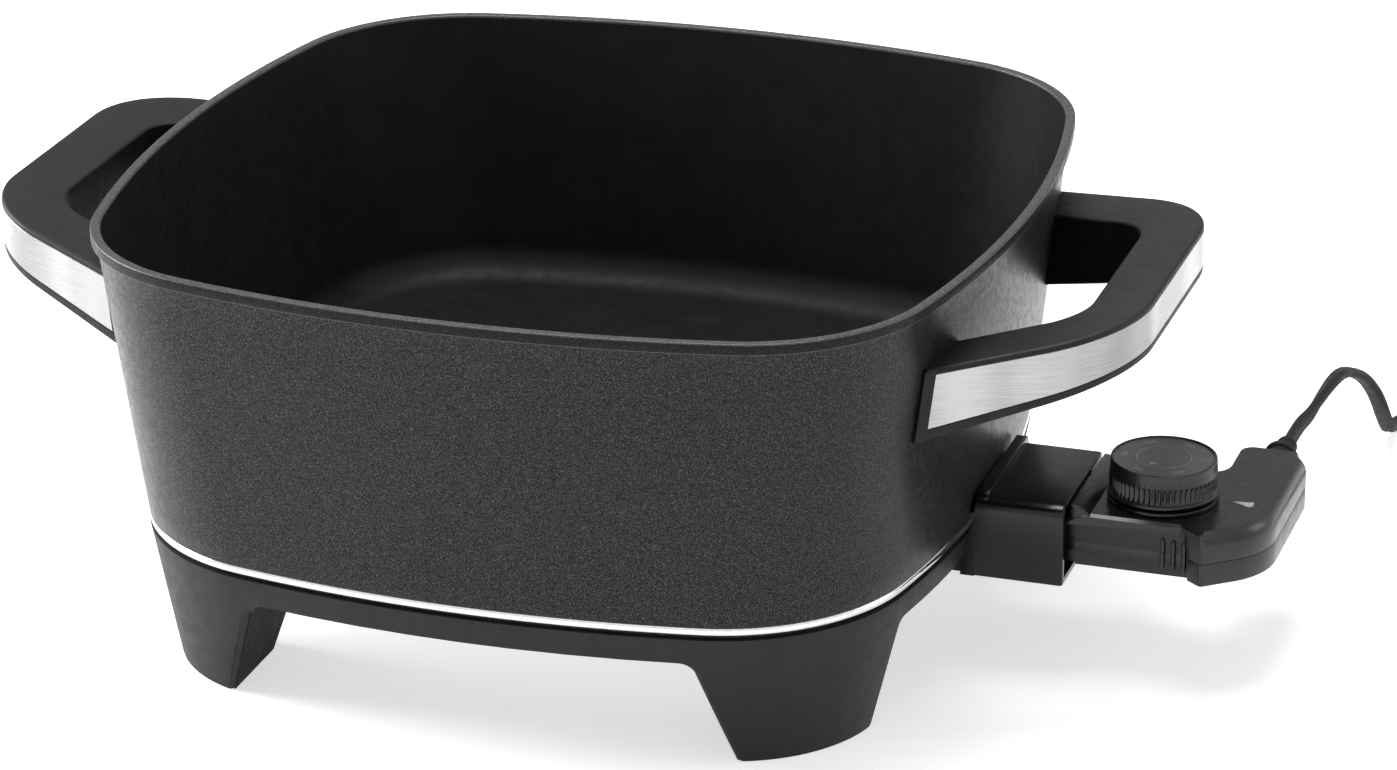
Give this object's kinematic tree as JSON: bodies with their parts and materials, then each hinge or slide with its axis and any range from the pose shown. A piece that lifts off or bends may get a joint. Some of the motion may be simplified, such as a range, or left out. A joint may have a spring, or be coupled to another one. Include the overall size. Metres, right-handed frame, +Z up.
{
  "type": "electric skillet",
  "caption": "Deep square electric skillet with bowed walls, upswept loop handles, a legged base and a plug-in probe controller with a turning dial and a short cord.",
  "frame": {"origin": "on the table that the legs stand on, under the middle of the pan", "axes": "+X towards the socket and the plug-in controller, +Y away from the side that the dial's grip ribs face, +Z up"},
  "size_m": [0.577, 0.4244, 0.167],
  "materials": {
    "pan_coating": "cast aluminium under a dark, finely speckled non-stick coating",
    "trim_steel": "polished band",
    "base_plastic": "black heat-resistant moulding, fine texture",
    "screw_steel": "zinc plated",
    "shield_steel": "plain sheet steel",
    "sheath_steel": "heat-darkened sheath",
    "pin_steel": "plated",
    "ceramic": "white unglazed ceramic",
    "cast_aluminium": "as cast",
    "gloss_black": "glossy black moulding",
    "dial_black": "glossy skirt, satin face with pale marks",
    "handle_plastic": "satin black moulding",
    "band_steel": "brushed stainless strip",
    "contact_resin": "moulded phenolic",
    "brass": "plain",
    "lens": "milky translucent window",
    "lamp_glass": "neon lamp",
    "lead_sleeving": "glass-fibre sleeving",
    "cord_rubber": "matte dark grey",
    "tie_plastic": "black",
    "plug_plastic": "moulded-on plug"
  },
  "bodies": {
    "skillet": {"pan": "pan_coating", "trim_ring": "trim_steel", "base": "base_plastic", "base_screws": "screw_steel", "heat_shield": "shield_steel", "shield_screws": "screw_steel", "heating_element": "sheath_steel", "element_clips": "shield_steel", "clip_screws": "screw_steel", "terminal_pins": "pin_steel", "pin_insulators": "ceramic", "probe_receiver": "cast_aluminium", "receiver_screws": "screw_steel", "socket_guard": "gloss_black", "guard_screws": "screw_steel", "left_handle": "handle_plastic", "right_handle": "handle_plastic", "left_handle_band": "band_steel", "right_handle_band": "band_steel", "left_handle_screws": "screw_steel", "right_handle_screws": "screw_steel"},
    "controller": {"controller_upper_shell": "gloss_black", "controller_lower_shell": "gloss_black", "case_screws": "screw_steel", "dial_collar": "gloss_black", "thermostat_frame": "shield_steel", "contact_block": "contact_resin", "contact_sleeves": "brass", "probe_rod": "pin_steel", "indicator_lens": "lens", "indicator_lamp": "lamp_glass", "supply_leads": "lead_sleeving", "strain_relief": "cord_rubber", "cord": "cord_rubber", "cord_coil": "cord_rubber", "cord_tie": "tie_plastic", "cord_tail": "cord_rubber", "plug_body": "plug_plastic", "plug_blades": "brass"},
    "dial": {"dial_knob": "dial_black", "dial_shaft": "pin_steel"},
    "follower": {"cam_follower": "ceramic"}
  },
  "joints": [
    {"name": "controller_pull", "type": "slide", "parent": "skillet", "child": "controller", "axis": [1, 0, 0], "range_m": [0, 0.12]},
    {"name": "dial_turn", "type": "hinge", "parent": "controller", "child": "dial", "pos_m": [0.215, 0, 0.07], "axis": [0, 0, -1], "range_deg": [0, 300]},
    {"name": "follower_push", "type": "slide", "parent": "controller", "child": "follower", "axis": [-1, 0, 0], "range_m": [0, 0.003]}
  ],
  "couplings": [
    {"joint": "follower_push", "follows": "dial_turn", "m_per_rad": 0.00057295}
  ]
}
